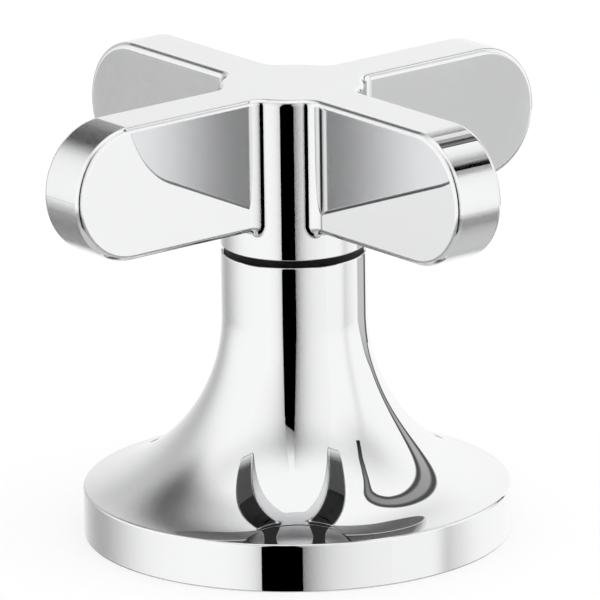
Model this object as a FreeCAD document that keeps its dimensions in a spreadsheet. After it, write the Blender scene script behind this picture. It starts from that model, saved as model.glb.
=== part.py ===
"""Replacement tap handle: a plated cross handle that turns on a trumpet-shaped base.

Millimetres, +Z up the spindle. The origin is on the deck, in the middle of the base's foot.
The four arms lie along X and Y, and the set screw is in the hub between the +X and +Y arms.
"""
import FreeCAD, Part
import math
import os
import re

import Sketcher

SIZES = {
    # Trumpet base, outside: a straight rim, one flare arc and a straight neck
    "flange_dia": 54.0,
    "rim_height": 6.2,
    "flare_radius": 23.0,
    "neck_dia": 18.4,
    "neck_height": 8.2,
    "rim_break": 0.3,
    "foot_break": 0.25,
    "neck_break": 0.25,
    # Trumpet base, inside and underneath
    "cavity_depth": 5.0,
    "taper_length": 7.8,
    "foot_land": 2.9,
    "gasket_inset": 1.9,
    "gasket_width": 4.5,
    "gasket_depth": 1.6,
    "gasket_room": 0.1,
    # Threaded ring pressed into the base, bored to the thread's minor diameter
    "thread_dia": 20.9,
    "insert_wall": 2.0,
    "insert_length": 8.0,
    "insert_recess": 0.2,
    "insert_chamfer": 0.5,
    "relief_room": 0.85,
    "relief_land": 1.0,
    "press_room": 0.02,
    # Plastic glide ring between the base's neck and the handle's hub
    "ring_seat_depth": 5.0,
    "ring_wall": 0.9,
    "ring_shelf": 0.82,
    "ring_flange": 0.85,
    "ring_setback": 0.4,
    "ring_room": 0.03,
    # Cross handle
    "handle_span": 73.5,
    "arm_height": 17.1,
    "arm_width": 7.2,
    "collar_height": 3.6,
    "arm_fillet": 1.25,
    "edge_round": 0.5,
    "collar_break": 0.3,
    "spigot_wall": 1.1,
    "spigot_end_room": 0.4,
    "spigot_chamfer": 0.3,
    "run_room": 0.08,
    "axial_room": 0.05,
    # Splined adapter in the hub
    "adapter_dia": 11.0,
    "adapter_length": 20.0,
    "adapter_drop": 1.2,
    "adapter_chamfer": 0.4,
    "slip_room": 0.04,
    "pilot_dia": 8.8,
    "pilot_depth": 2.0,
    "spline_dia": 7.6,
    "spline_depth": 0.42,
    "spline_gap": 0.72,
    "spline_floor": 0.5,
    "spline_teeth": 20,
    "socket_depth": 10.0,
    "web": 2.5,
    # Screw that holds the adapter on the stem
    "screw_dia": 4.0,
    "screw_length": 10.0,
    "screw_chamfer": 0.5,
    "screw_room": 0.15,
    "head_dia": 7.2,
    "head_height": 2.6,
    "head_break": 0.5,
    "head_room": 0.3,
    "screw_key": 2.5,
    "screw_key_depth": 1.5,
    # Set screw that holds the handle on the adapter
    "set_dia": 4.0,
    "set_length": 3.8,
    "set_chamfer": 0.5,
    "set_key": 2.0,
    "set_key_depth": 1.8,
    "set_drop": 3.5,
    "set_room": 0.04,
    "flat_cut": 0.5,
    "flat_length": 5.6,
}

# The set screw stands midway between two arms of the cross
SET_ANGLE = 45.0

doc = FreeCAD.newDocument("tap_handle")
sheet = doc.addObject("Spreadsheet::Sheet", "dims")
for row, (name, size) in enumerate(SIZES.items(), start=1):
    sheet.set(f"A{row}", name)
    sheet.set(f"B{row}", str(size))
    sheet.setAlias(f"B{row}", name)
doc.recompute()


# Derived sizes, as expressions of the sheet's cells: radii from the spindle's axis outwards
HUB_R = "(neck_dia / 2)"
FLANGE_R = "(flange_dia / 2)"
ADAPTER_R = "(adapter_dia / 2)"
BORE_R = f"({ADAPTER_R} + slip_room)"
SPIGOT_R = f"({BORE_R} + spigot_wall)"
RING_IN_R = f"({SPIGOT_R} + run_room)"
RING_OUT_R = f"({RING_IN_R} + ring_wall)"
SEAT_R = f"({RING_OUT_R} + ring_room)"
NECK_BORE_R = f"({RING_OUT_R} - ring_shelf)"
NECK_EDGE_R = f"({HUB_R} - min(neck_break; ({HUB_R} - {SEAT_R}) / 2))"
THREAD_R = "(thread_dia / 2)"
INSERT_R = f"({THREAD_R} + insert_wall)"
INSERT_SEAT_R = f"({INSERT_R} + press_room)"
RELIEF_R = f"({THREAD_R} + relief_room)"
GROOVE_OUT_R = f"({FLANGE_R} - gasket_inset)"
GROOVE_IN_R = f"({GROOVE_OUT_R} - gasket_width - 2 * gasket_room)"
CAVITY_R = f"({GROOVE_IN_R} - foot_land)"
FLARE_AXIS_R = f"({HUB_R} + flare_radius)"
RIM_EDGE_R = f"({FLANGE_R} - rim_break)"
SPLINE_R = "(spline_dia / 2)"
HEAD_POCKET_R = "(head_dia / 2 + head_room)"
SCREW_HOLE_R = "(screw_dia / 2 + screw_room)"

# Derived heights above the deck
FLARE_START = f"(rim_height + sqrt(flare_radius ^ 2 - ({FLARE_AXIS_R} - {FLANGE_R}) ^ 2))"
RIM_EDGE = f"({FLARE_START} - sqrt(flare_radius ^ 2 - ({FLARE_AXIS_R} - {RIM_EDGE_R}) ^ 2))"
NECK_TOP = f"({FLARE_START} + neck_height)"
NECK_EDGE = f"({NECK_TOP} - {HUB_R} + {NECK_EDGE_R})"
SEAT_FLOOR = f"({NECK_TOP} - ring_seat_depth)"
INSERT_FOOT = "(cavity_depth + insert_recess)"
INSERT_TOP = f"({INSERT_FOOT} + insert_length)"
RELIEF_TOP = f"({INSERT_TOP} + relief_land)"
TAPER_TOP = f"({RELIEF_TOP} + taper_length)"
HUB_FOOT = f"({NECK_TOP} + ring_flange + axial_room)"
ARM_FOOT = f"({HUB_FOOT} + collar_height)"
ARM_MIDDLE = f"({ARM_FOOT} + arm_height / 2)"
HANDLE_TOP = f"({ARM_FOOT} + arm_height)"
SPIGOT_FOOT = f"({SEAT_FLOOR} + spigot_end_room)"
ADAPTER_FOOT = f"({SPIGOT_FOOT} - adapter_drop)"
ADAPTER_TOP = f"({ADAPTER_FOOT} + adapter_length)"
SOCKET_TOP = f"({ADAPTER_FOOT} + socket_depth)"
WEB_TOP = f"({SOCKET_TOP} + web)"
SET_HEIGHT = f"({ADAPTER_TOP} - set_drop)"
SET_TIP_R = f"({ADAPTER_R} - flat_cut + set_room)"


def bound(text):
    """The expression with each size's name pointing at its cell of the sheet."""
    return re.sub(r"[a-z]\w*", lambda word: f"dims.{word[0]}" if word[0] in SIZES else word[0], text)


def number(text):
    """The expression's value now."""
    return float(sheet.evalExpression(bound(text)))


def bind(feature, **expressions):
    """Binds properties of a feature to expressions of the sheet's cells."""
    for name, text in expressions.items():
        feature.setExpression(name, bound(text))


def new_body(label):
    body = doc.addObject("PartDesign::Body", label)
    body.Label = label
    return body


def new_sketch(body, plane, name, lift="0", turn=0.0):
    """Empty sketch on one of the body's origin planes, lifted along its normal and turned about its upright."""
    sketch = body.newObject("Sketcher::SketchObject", name)
    support = next(item for item in body.Origin.OriginFeatures if item.Role == plane)
    sketch.AttachmentSupport = [(support, "")]
    sketch.MapMode = "FlatFace"
    turned = FreeCAD.Rotation(FreeCAD.Vector(0, 1, 0), turn)
    along = turned.multVec(FreeCAD.Vector(0, 0, 1))
    sketch.AttachmentOffset = FreeCAD.Placement(along * number(lift), turned)
    for axis in "xyz":
        share = getattr(along, axis)
        if abs(share) > 1e-9:
            sketch.setExpression(f"AttachmentOffset.Base.{axis}", bound(f"({lift}) * {share!r}"))
    return sketch


def outline(sketch, corners, arcs=None):
    """Closes an outline through corners, each a pair of expressions that place it in the sketch.

    arcs gives, by the number of the side that leaves a corner, its radius and its turn:
    1 for anticlockwise, -1 for clockwise. Every other side is straight.
    """
    arcs = arcs or {}
    points = [FreeCAD.Vector(number(across), number(up), 0) for across, up in corners]
    ends = []
    for side, start in enumerate(points):
        stop = points[(side + 1) % len(points)]
        if side not in arcs:
            sketch.addGeometry(Part.LineSegment(start, stop))
            ends.append((1, 2))
            continue
        radius, turn = arcs[side]
        chord = stop - start
        rise = math.sqrt(max(number(radius) ** 2 - (chord.Length / 2) ** 2, 0.0))
        left = FreeCAD.Vector(-chord.y, chord.x, 0).normalize()
        centre = (start + stop) * 0.5 + left * rise * turn
        angles = [math.atan2(point.y - centre.y, point.x - centre.x) for point in (start, stop)]
        circle = Part.Circle(centre, FreeCAD.Vector(0, 0, 1), number(radius))
        sketch.addGeometry(Part.ArcOfCircle(circle, *angles[::turn]))
        ends.append((1, 2)[::turn])
    for side, (first, last) in enumerate(ends):
        following = (side + 1) % len(points)
        sketch.addConstraint(Sketcher.Constraint("Coincident", side, last, following, ends[following][0]))
        for kind, text, place in zip(("DistanceX", "DistanceY"), corners[side], points[side]):
            dimension(sketch, Sketcher.Constraint(kind, -1, 1, side, first, place), text)
    for side, (radius, turn) in arcs.items():
        dimension(sketch, Sketcher.Constraint("Radius", side, number(radius)), radius)
    return sketch


def dimension(sketch, constraint, text):
    """Adds a driving dimension bound to an expression."""
    index = sketch.addConstraint(constraint)
    sketch.setExpression(f"Constraints[{index}]", bound(text))


def circle(sketch, radius, across="0", up="0"):
    """Puts one circle in a sketch."""
    centre = FreeCAD.Vector(number(across), number(up), 0)
    side = sketch.addGeometry(Part.Circle(centre, FreeCAD.Vector(0, 0, 1), number(radius)))
    dimension(sketch, Sketcher.Constraint("Radius", side, number(radius)), radius)
    dimension(sketch, Sketcher.Constraint("DistanceX", -1, 1, side, 3, centre.x), across)
    dimension(sketch, Sketcher.Constraint("DistanceY", -1, 1, side, 3, centre.y), up)
    return sketch


def hexagon(sketch, key):
    """Puts a hexagon of the given width across flats in a sketch."""
    corners = []
    for corner in range(6):
        angle = f"{60 * corner} deg"
        corners.append((f"{key} / sqrt(3) * cos({angle})", f"{key} / sqrt(3) * sin({angle})"))
    return outline(sketch, corners)


def revolve(body, name, corners, arcs=None):
    """Turns an outline of (radius, height) corners about the body's Z axis."""
    sketch = outline(new_sketch(body, "XZ_Plane", f"{name}_profile"), corners, arcs)
    turned = body.newObject("PartDesign::Revolution", name)
    turned.Profile = sketch
    turned.ReferenceAxis = (sketch, ["V_Axis"])
    turned.Angle = 360
    doc.recompute()
    return turned


def extrude(body, kind, name, sketch, length, **settings):
    """Pads or pockets a sketch by a length that is an expression."""
    volume_before = body.Shape.Volume if kind == "Pocket" else 0.0
    feature = body.newObject(f"PartDesign::{kind}", name)
    feature.Profile = sketch
    for setting, choice in settings.items():
        setattr(feature, setting, choice)
    bind(feature, Length=length)
    doc.recompute()
    if kind == "Pocket" and feature.Shape.Volume >= volume_before:
        raise RuntimeError(f"{name} cuts nothing")
    return feature


def round_edges(body, name, chosen, radius):
    """Rounds the edges of the body's tip that the function chosen picks."""
    base = body.Tip
    edges = [f"Edge{index}" for index, edge in enumerate(base.Shape.Edges, start=1) if chosen(edge)]
    feature = body.newObject("PartDesign::Fillet", name)
    feature.Base = (base, edges)
    bind(feature, Radius=radius)
    doc.recompute()
    return feature


# Trumpet base: one turned piece, open underneath
base = new_body("handle_base")
revolve(base, "bell", [
    (CAVITY_R, "0"),
    (GROOVE_IN_R, "0"),
    (GROOVE_IN_R, "gasket_depth"),
    (GROOVE_OUT_R, "gasket_depth"),
    (GROOVE_OUT_R, "0"),
    (f"{FLANGE_R} - foot_break", "0"),
    (FLANGE_R, "foot_break"),
    (FLANGE_R, "rim_height - rim_break"),
    (RIM_EDGE_R, RIM_EDGE),
    (HUB_R, FLARE_START),
    (HUB_R, NECK_EDGE),
    (NECK_EDGE_R, NECK_TOP),
    (SEAT_R, NECK_TOP),
    (SEAT_R, SEAT_FLOOR),
    (NECK_BORE_R, SEAT_FLOOR),
    (NECK_BORE_R, TAPER_TOP),
    (RELIEF_R, RELIEF_TOP),
    (RELIEF_R, INSERT_TOP),
    (INSERT_SEAT_R, INSERT_TOP),
    (INSERT_SEAT_R, "cavity_depth"),
    (CAVITY_R, "cavity_depth"),
], arcs={8: ("flare_radius", -1)})

# Gasket: a flat rubber ring in the groove under the foot, flush when it is clamped
gasket = new_body("base_gasket")
revolve(gasket, "band", [
    (f"{GROOVE_IN_R} + gasket_room", "0"),
    (f"{GROOVE_OUT_R} - gasket_room", "0"),
    (f"{GROOVE_OUT_R} - gasket_room", "gasket_depth"),
    (f"{GROOVE_IN_R} + gasket_room", "gasket_depth"),
])

# Threaded ring: seats against the shoulder above it
insert = new_body("threaded_insert")
revolve(insert, "collar", [
    (f"{THREAD_R} + insert_chamfer", INSERT_FOOT),
    (INSERT_R, INSERT_FOOT),
    (INSERT_R, INSERT_TOP),
    (f"{THREAD_R} + insert_chamfer", INSERT_TOP),
    (THREAD_R, f"{INSERT_TOP} - insert_chamfer"),
    (THREAD_R, f"{INSERT_FOOT} + insert_chamfer"),
])

# Glide ring: a sleeve in the neck with a flange that fills the gap under the hub
glide = new_body("glide_ring")
revolve(glide, "sleeve", [
    (RING_IN_R, SEAT_FLOOR),
    (RING_OUT_R, SEAT_FLOOR),
    (RING_OUT_R, NECK_TOP),
    (f"{HUB_R} - ring_setback", NECK_TOP),
    (f"{HUB_R} - ring_setback", f"{NECK_TOP} + ring_flange"),
    (RING_IN_R, f"{NECK_TOP} + ring_flange"),
])


# Cross handle: one casting, built as two halves about the arms' middle, each with its own rounded edges
def arm_pair(body, plane, name, edge_height, turn):
    """Pads half of a straight bar with round ends through the hub; turn is 1 for the upper half."""
    end_x = "handle_span / 2"
    straight_x = "(handle_span - arm_height) / 2"
    corners = [
        (f"-{end_x}", ARM_MIDDLE),
        (end_x, ARM_MIDDLE),
        (straight_x, edge_height),
        (f"-{straight_x}", edge_height),
    ]
    sketch = outline(
        new_sketch(body, plane, f"{name}_profile"),
        corners,
        arcs={1: ("arm_height / 2", turn), 3: ("arm_height / 2", turn)},
    )
    return extrude(body, "Pad", name, sketch, "arm_width", SideType="Symmetric")


def on_arm_side(edge):
    """Picks the edges that lie wholly in a side face of an arm, outside the hub, and not on the middle."""
    half = number("arm_width / 2")
    middle = number(ARM_MIDDLE)
    points = [edge.valueAt(edge.FirstParameter + share * (edge.LastParameter - edge.FirstParameter))
              for share in (0.0, 0.3, 0.7, 1.0)]
    along_x = all(abs(abs(point.y) - half) < 1e-4 for point in points)
    along_y = all(abs(abs(point.x) - half) < 1e-4 for point in points)
    level = all(abs(point.z - middle) < 1e-4 for point in points)
    upright = abs(points[0].z - points[-1].z) > 1e-4 and math.dist(points[0][:2], points[-1][:2]) < 1e-4
    return (along_x or along_y) and not level and not upright


def inner_corner(edge):
    """Picks the edges where an arm meets the hub's round side."""
    hub = number(HUB_R)
    half = number("arm_width / 2")
    middle = number(ARM_MIDDLE)
    points = [edge.valueAt(edge.FirstParameter + share * (edge.LastParameter - edge.FirstParameter))
              for share in (0.0, 0.5, 1.0)]
    on_hub = all(abs(math.hypot(point.x, point.y) - hub) < 1e-4 for point in points)
    by_arm = all(min(abs(point.x), abs(point.y)) < half + 1e-4 for point in points)
    level = all(abs(point.z - middle) < 1e-4 for point in points)
    foot = all(point.z < number(f"{HUB_FOOT} + collar_break") + 1e-4 for point in points)
    top = all(point.z > number(HANDLE_TOP) - 1e-4 for point in points)
    return on_hub and by_arm and not level and not foot and not top


lower = new_body("handle_lower")
revolve(lower, "lower_hub", [
    ("0", SPIGOT_FOOT),
    (f"{SPIGOT_R} - spigot_chamfer", SPIGOT_FOOT),
    (SPIGOT_R, f"{SPIGOT_FOOT} + spigot_chamfer"),
    (SPIGOT_R, HUB_FOOT),
    (f"{HUB_R} - collar_break", HUB_FOOT),
    (HUB_R, f"{HUB_FOOT} + collar_break"),
    (HUB_R, ARM_MIDDLE),
    ("0", ARM_MIDDLE),
])
arm_pair(lower, "XZ_Plane", "lower_arms_x", ARM_FOOT, -1)
arm_pair(lower, "YZ_Plane", "lower_arms_y", ARM_FOOT, -1)
round_edges(lower, "lower_edges", on_arm_side, "edge_round")
round_edges(lower, "lower_corners", inner_corner, "arm_fillet")

upper = new_body("handle_upper")
hub_circle = circle(new_sketch(upper, "XY_Plane", "upper_hub_profile", lift=ARM_MIDDLE), HUB_R)
extrude(upper, "Pad", "upper_hub", hub_circle, "arm_height / 2")
arm_pair(upper, "XZ_Plane", "upper_arms_x", HANDLE_TOP, 1)
arm_pair(upper, "YZ_Plane", "upper_arms_y", HANDLE_TOP, 1)
round_edges(upper, "upper_corners", inner_corner, "arm_fillet")
round_edges(upper, "upper_edges", on_arm_side, "edge_round")

casting = doc.addObject("Part::Fuse", "casting")
casting.Base = lower
casting.Tool = upper
casting.Refine = True

# Drillings in the casting: the blind bore for the adapter and the set screw's radial hole
adapter_bore = doc.addObject("Part::Cylinder", "adapter_bore")
bind(adapter_bore, Radius=BORE_R, Height=f"{ADAPTER_TOP} - {SPIGOT_FOOT}")
adapter_bore.setExpression("Placement.Base.z", bound(SPIGOT_FOOT))

upright_to_x = FreeCAD.Rotation(FreeCAD.Vector(0, 1, 0), 90)
outward = FreeCAD.Rotation(FreeCAD.Vector(0, 0, 1), SET_ANGLE) * upright_to_x
set_hole = doc.addObject("Part::Cylinder", "set_hole")
set_hole.Placement.Rotation = outward
bind(set_hole, Radius="set_dia / 2 + set_room", Height="neck_dia")
set_hole.setExpression("Placement.Base.z", bound(SET_HEIGHT))

drillings = doc.addObject("Part::Fuse", "drillings")
drillings.Base = adapter_bore
drillings.Tool = set_hole

handle = doc.addObject("Part::Cut", "cross_handle")
handle.Label = "cross_handle"
handle.Base = casting
handle.Tool = drillings

# Adapter: a brass post with a splined socket below, a pocket for the screw's head above and a flat outside
adapter = new_body("stem_adapter")
revolve(adapter, "post", [
    ("pilot_dia / 2", ADAPTER_FOOT),
    (f"{ADAPTER_R} - adapter_chamfer", ADAPTER_FOOT),
    (ADAPTER_R, f"{ADAPTER_FOOT} + adapter_chamfer"),
    (ADAPTER_R, f"{ADAPTER_TOP} - adapter_chamfer"),
    (f"{ADAPTER_R} - adapter_chamfer", ADAPTER_TOP),
    (HEAD_POCKET_R, ADAPTER_TOP),
    (HEAD_POCKET_R, WEB_TOP),
    (SCREW_HOLE_R, WEB_TOP),
    (SCREW_HOLE_R, SOCKET_TOP),
    (SPLINE_R, SOCKET_TOP),
    (SPLINE_R, f"{ADAPTER_FOOT} + pilot_depth"),
    ("pilot_dia / 2", f"{ADAPTER_FOOT} + pilot_depth"),
])
gap_profile = outline(new_sketch(adapter, "XY_Plane", "spline_gap_profile", lift=ADAPTER_FOOT), [
    (f"{SPLINE_R} - spline_depth", "-spline_gap / 2"),
    (f"{SPLINE_R} + spline_depth", "-spline_floor / 2"),
    (f"{SPLINE_R} + spline_depth", "spline_floor / 2"),
    (f"{SPLINE_R} - spline_depth", "spline_gap / 2"),
])
gap = extrude(adapter, "Pocket", "spline_gap", gap_profile, "socket_depth", Reversed=True)
splines = adapter.newObject("PartDesign::PolarPattern", "splines")
splines.Originals = [gap]
splines.Axis = (gap_profile, ["N_Axis"])
splines.Angle = 360
bind(splines, Occurrences="spline_teeth")
adapter.Tip = splines
doc.recompute()

flat_sketch = new_sketch(
    adapter, "XZ_Plane", "flat_profile", lift=f"{ADAPTER_R} - flat_cut", turn=SET_ANGLE + 90)
outline(flat_sketch, [
    (f"-{ADAPTER_R}", f"{SET_HEIGHT} - flat_length / 2"),
    (ADAPTER_R, f"{SET_HEIGHT} - flat_length / 2"),
    (ADAPTER_R, f"{SET_HEIGHT} + flat_length / 2"),
    (f"-{ADAPTER_R}", f"{SET_HEIGHT} + flat_length / 2"),
])
extrude(adapter, "Pocket", "set_flat", flat_sketch, "adapter_dia", Reversed=True)

# Adapter screw: its head bears on the web, its end reaches down where the stem comes up
screw = new_body("adapter_screw")
SCREW_TOP = f"({WEB_TOP} + head_height)"
revolve(screw, "shank_and_head", [
    ("0", f"{WEB_TOP} - screw_length"),
    ("screw_dia / 2 - screw_chamfer", f"{WEB_TOP} - screw_length"),
    ("screw_dia / 2", f"{WEB_TOP} - screw_length + screw_chamfer"),
    ("screw_dia / 2", WEB_TOP),
    ("head_dia / 2", WEB_TOP),
    ("head_dia / 2", f"{SCREW_TOP} - head_break"),
    ("head_dia / 2 - head_break", SCREW_TOP),
    ("0", SCREW_TOP),
])
screw_hexagon = hexagon(new_sketch(screw, "XY_Plane", "screw_key_profile", lift=SCREW_TOP), "screw_key")
extrude(screw, "Pocket", "screw_socket", screw_hexagon, "screw_key_depth")

# Set screw: headless, turned on its own axis and then laid in its hole with its end on the adapter's flat
set_screw = new_body("set_screw")
revolve(set_screw, "stud", [
    ("0", "0"),
    ("set_dia / 2 - set_chamfer", "0"),
    ("set_dia / 2", "set_chamfer"),
    ("set_dia / 2", "set_length"),
    ("0", "set_length"),
])
set_hexagon = hexagon(new_sketch(set_screw, "XY_Plane", "set_key_profile", lift="set_length"), "set_key")
extrude(set_screw, "Pocket", "set_socket", set_hexagon, "set_key_depth")
set_screw.Placement.Rotation = outward
set_screw.setExpression("Placement.Base.x", bound(f"{SET_TIP_R} * cos({SET_ANGLE} deg)"))
set_screw.setExpression("Placement.Base.y", bound(f"{SET_TIP_R} * sin({SET_ANGLE} deg)"))
set_screw.setExpression("Placement.Base.z", bound(SET_HEIGHT))
doc.recompute()

# Nothing is written unless every feature built and every piece is one valid solid
for item in doc.Objects:
    if "Invalid" in item.State or "Error" in item.State:
        raise RuntimeError(f"{item.Label} failed: {item.State}")
pieces = [base, gasket, insert, glide, handle, adapter, screw, set_screw]
for piece in pieces:
    if piece.Shape.isNull() or not piece.Shape.isValid() or len(piece.Shape.Solids) != 1:
        raise RuntimeError(f"{piece.Label} is not one valid solid")

os.makedirs("parts", exist_ok=True)
for piece in pieces:
    piece.Shape.exportStep(os.path.join("parts", f"{piece.Label}.step"))
    print(f"{piece.Label}: {piece.Shape.Volume:.1f} mm3")
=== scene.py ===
"""Looks of a plated cross handle on its trumpet-shaped tap base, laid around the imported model.

Sizes are in millimetres and become metres where a mesh is made. +Z runs up the spindle.
"""
import itertools
import math

import bpy
import numpy as np
from mathutils import Matrix, Vector


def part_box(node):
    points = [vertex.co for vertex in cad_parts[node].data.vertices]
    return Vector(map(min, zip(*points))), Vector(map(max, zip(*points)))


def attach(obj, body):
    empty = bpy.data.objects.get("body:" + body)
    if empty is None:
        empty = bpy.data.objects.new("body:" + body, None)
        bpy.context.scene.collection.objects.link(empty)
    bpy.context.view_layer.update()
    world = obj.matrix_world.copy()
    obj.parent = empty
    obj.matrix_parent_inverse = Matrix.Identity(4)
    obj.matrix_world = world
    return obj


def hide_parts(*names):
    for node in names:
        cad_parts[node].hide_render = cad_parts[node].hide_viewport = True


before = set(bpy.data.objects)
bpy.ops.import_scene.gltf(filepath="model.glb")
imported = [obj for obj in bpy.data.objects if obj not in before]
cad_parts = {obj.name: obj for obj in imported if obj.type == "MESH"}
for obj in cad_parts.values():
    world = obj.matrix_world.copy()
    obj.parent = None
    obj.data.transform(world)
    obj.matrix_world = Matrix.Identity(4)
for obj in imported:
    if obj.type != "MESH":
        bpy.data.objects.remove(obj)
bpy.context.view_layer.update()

# Trumpet base: a turned brass bell, polished and chrome plated, with a straight rim and a straight neck.
# It is open underneath, where a rubber ring and a threaded ring sit, and it screws down on the valve.
MM = 0.001
WELD = 1e-4
TURN_STEPS = 240
base_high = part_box("handle_base")[1] / MM
FLANGE_R = base_high.x
NECK_TOP = base_high.z
NECK_R = 9.2
RIM_HEIGHT = 6.2
FLARE = 23.0
RIM_ROUND = 0.35
FOOT_ROUND = 0.25
NECK_ROUND = 0.18
SEAT_R = 7.65
SEAT_DEPTH = 5.0
NECK_BORE_R = 6.8
TAPER_LENGTH = 7.8
RELIEF_R = 11.3
INSERT_SEAT_R = 12.47
CAVITY_R = 17.5
CAVITY_DEPTH = 5.0
CAVITY_ROUND = 0.8
GROOVE_IN_R = 20.4
GROOVE_OUT_R = 25.1
GASKET_DEPTH = 1.6
INSERT_TOP = 13.2
RELIEF_TOP = 14.2


def straight(start, stop):
    """Straight stretch of a profile between two points, with the normal on the right of the way it runs."""
    points = np.array([start, stop], float)
    run = (points[1] - points[0]) / np.hypot(*(points[1] - points[0]))
    return points, np.broadcast_to([run[1], -run[0]], points.shape)


def chain(*corners):
    """Straight stretches of a profile from each corner to the next."""
    return [straight(start, stop) for start, stop in zip(corners, corners[1:])]


def arc(centre, radius, start, stop, steps):
    """Round stretch of a profile from one angle in degrees to another.

    The normal points away from the centre where it runs anticlockwise and towards it where it runs clockwise.
    """
    turn = np.radians(np.linspace(start, stop, steps + 1))
    ways = np.stack([np.cos(turn), np.sin(turn)], axis=1)
    return np.array(centre) + radius * ways, ways * math.copysign(1.0, stop - start)


def lathe(stretches, around):
    """Turns stretches of (radius, height) about Z: x = r cos a and y = r sin a at every angle of around."""
    ring = np.stack([np.cos(around), np.sin(around)], axis=1)

    def swept(pairs):
        flat = pairs[:, None, :1] * ring[None]
        rise = np.broadcast_to(pairs[:, None, 1:], flat.shape[:2] + (1,))
        return np.concatenate([flat, rise], axis=2)

    return [(swept(points), swept(ways)) for points, ways in stretches]


def patch_piece(name, *finishes):
    """Joins grids of points and their normals into one mesh object, with a list of grids for each finish.

    Every grid cell becomes a face that is turned to agree with its normals. Points that coincide become one
    vertex, so that seams and poles close, and a cell with two corners in one place becomes a triangle.
    """
    patches = [patch for finish in finishes for patch in finish]
    slots = np.repeat(np.arange(len(finishes)), [
        sum((points.shape[0] - 1) * (points.shape[1] - 1) for points, ways in finish) for finish in finishes])

    def cells(grid):
        corners = [grid[:-1, :-1], grid[1:, :-1], grid[1:, 1:], grid[:-1, 1:]]
        return np.stack(corners, axis=2).reshape(-1, 4, 3)

    places = np.concatenate([cells(points) for points, ways in patches])
    facing = np.concatenate([cells(np.broadcast_to(ways, points.shape)) for points, ways in patches])
    across = np.cross(places[:, 2] - places[:, 0], places[:, 3] - places[:, 1])
    inside_out = (across * facing.sum(axis=1)).sum(axis=1) < 0
    places[inside_out] = places[inside_out, ::-1]
    facing[inside_out] = facing[inside_out, ::-1]
    keys = np.round(places.reshape(-1, 3) / WELD).astype(np.int64)
    first, vertex = np.unique(keys, axis=0, return_index=True, return_inverse=True)[1:]
    faces = vertex.reshape(-1, 4)
    kept = faces != np.roll(faces, 1, axis=1)
    four = kept.sum(axis=1) == 4
    three = kept.sum(axis=1) == 3
    quads = faces[four]
    triangles = faces[three][kept[three]].reshape(-1, 3)
    mesh = bpy.data.meshes.new(name)
    mesh.from_pydata(places.reshape(-1, 3)[first] * MM, [], quads.tolist() + triangles.tolist())
    mesh.shade_smooth()
    mesh.polygons.foreach_set("material_index", np.concatenate([slots[four], slots[three]]).astype(np.int32))
    normals = np.concatenate([facing[four].reshape(-1, 3), facing[three][kept[three]]])
    mesh.normals_split_custom_set(normals)
    piece = bpy.data.objects.new(name, mesh)
    bpy.context.scene.collection.objects.link(piece)
    return piece


flare_axis = (NECK_R + FLARE, RIM_HEIGHT + math.sqrt(FLARE**2 - (NECK_R + FLARE - FLANGE_R) ** 2))
rim_axis_r = FLANGE_R - RIM_ROUND
rim_reach = math.sqrt((FLARE + RIM_ROUND) ** 2 - (flare_axis[0] - rim_axis_r) ** 2)
rim_axis = (rim_axis_r, flare_axis[1] - rim_reach)
rim_turn = math.degrees(math.atan2(rim_reach, flare_axis[0] - rim_axis_r))
SEAT_FLOOR = NECK_TOP - SEAT_DEPTH
FULL_TURN = np.linspace(0.0, 2.0 * math.pi, TURN_STEPS + 1)
bell_skin = [
    straight((GROOVE_OUT_R, 0.0), (FLANGE_R - FOOT_ROUND, 0.0)),
    arc((FLANGE_R - FOOT_ROUND, FOOT_ROUND), FOOT_ROUND, -90.0, 0.0, steps=6),
    straight((FLANGE_R, FOOT_ROUND), (FLANGE_R, rim_axis[1])),
    arc(rim_axis, RIM_ROUND, 0.0, rim_turn, steps=8),
    arc(flare_axis, FLARE, 180.0 + rim_turn, 180.0, steps=96),
    straight((NECK_R, flare_axis[1]), (NECK_R, NECK_TOP - NECK_ROUND)),
    arc((NECK_R - NECK_ROUND, NECK_TOP - NECK_ROUND), NECK_ROUND, 0.0, 90.0, steps=6),
    straight((NECK_R - NECK_ROUND, NECK_TOP), (SEAT_R, NECK_TOP)),
]
bell_inside = chain(
    (SEAT_R, NECK_TOP),
    (SEAT_R, SEAT_FLOOR),
    (NECK_BORE_R, SEAT_FLOOR),
    (NECK_BORE_R, RELIEF_TOP + TAPER_LENGTH),
    (RELIEF_R, RELIEF_TOP),
    (RELIEF_R, INSERT_TOP),
    (INSERT_SEAT_R, INSERT_TOP),
    (INSERT_SEAT_R, CAVITY_DEPTH),
    (CAVITY_R - CAVITY_ROUND, CAVITY_DEPTH),
) + [
    arc((CAVITY_R - CAVITY_ROUND, CAVITY_DEPTH - CAVITY_ROUND), CAVITY_ROUND, 90.0, 0.0, steps=6),
] + chain(
    (CAVITY_R, CAVITY_DEPTH - CAVITY_ROUND),
    (CAVITY_R, 0.0),
    (GROOVE_IN_R, 0.0),
    (GROOVE_IN_R, GASKET_DEPTH),
    (GROOVE_OUT_R, GASKET_DEPTH),
    (GROOVE_OUT_R, 0.0),
)
trumpet_base = patch_piece("trumpet_base", lathe(bell_skin, FULL_TURN), lathe(bell_inside, FULL_TURN))


def new_finish(name):
    """New material and its Principled shader."""
    finish = bpy.data.materials.new(name)
    finish.use_nodes = True
    return finish, finish.node_tree.nodes["Principled BSDF"]


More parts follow.
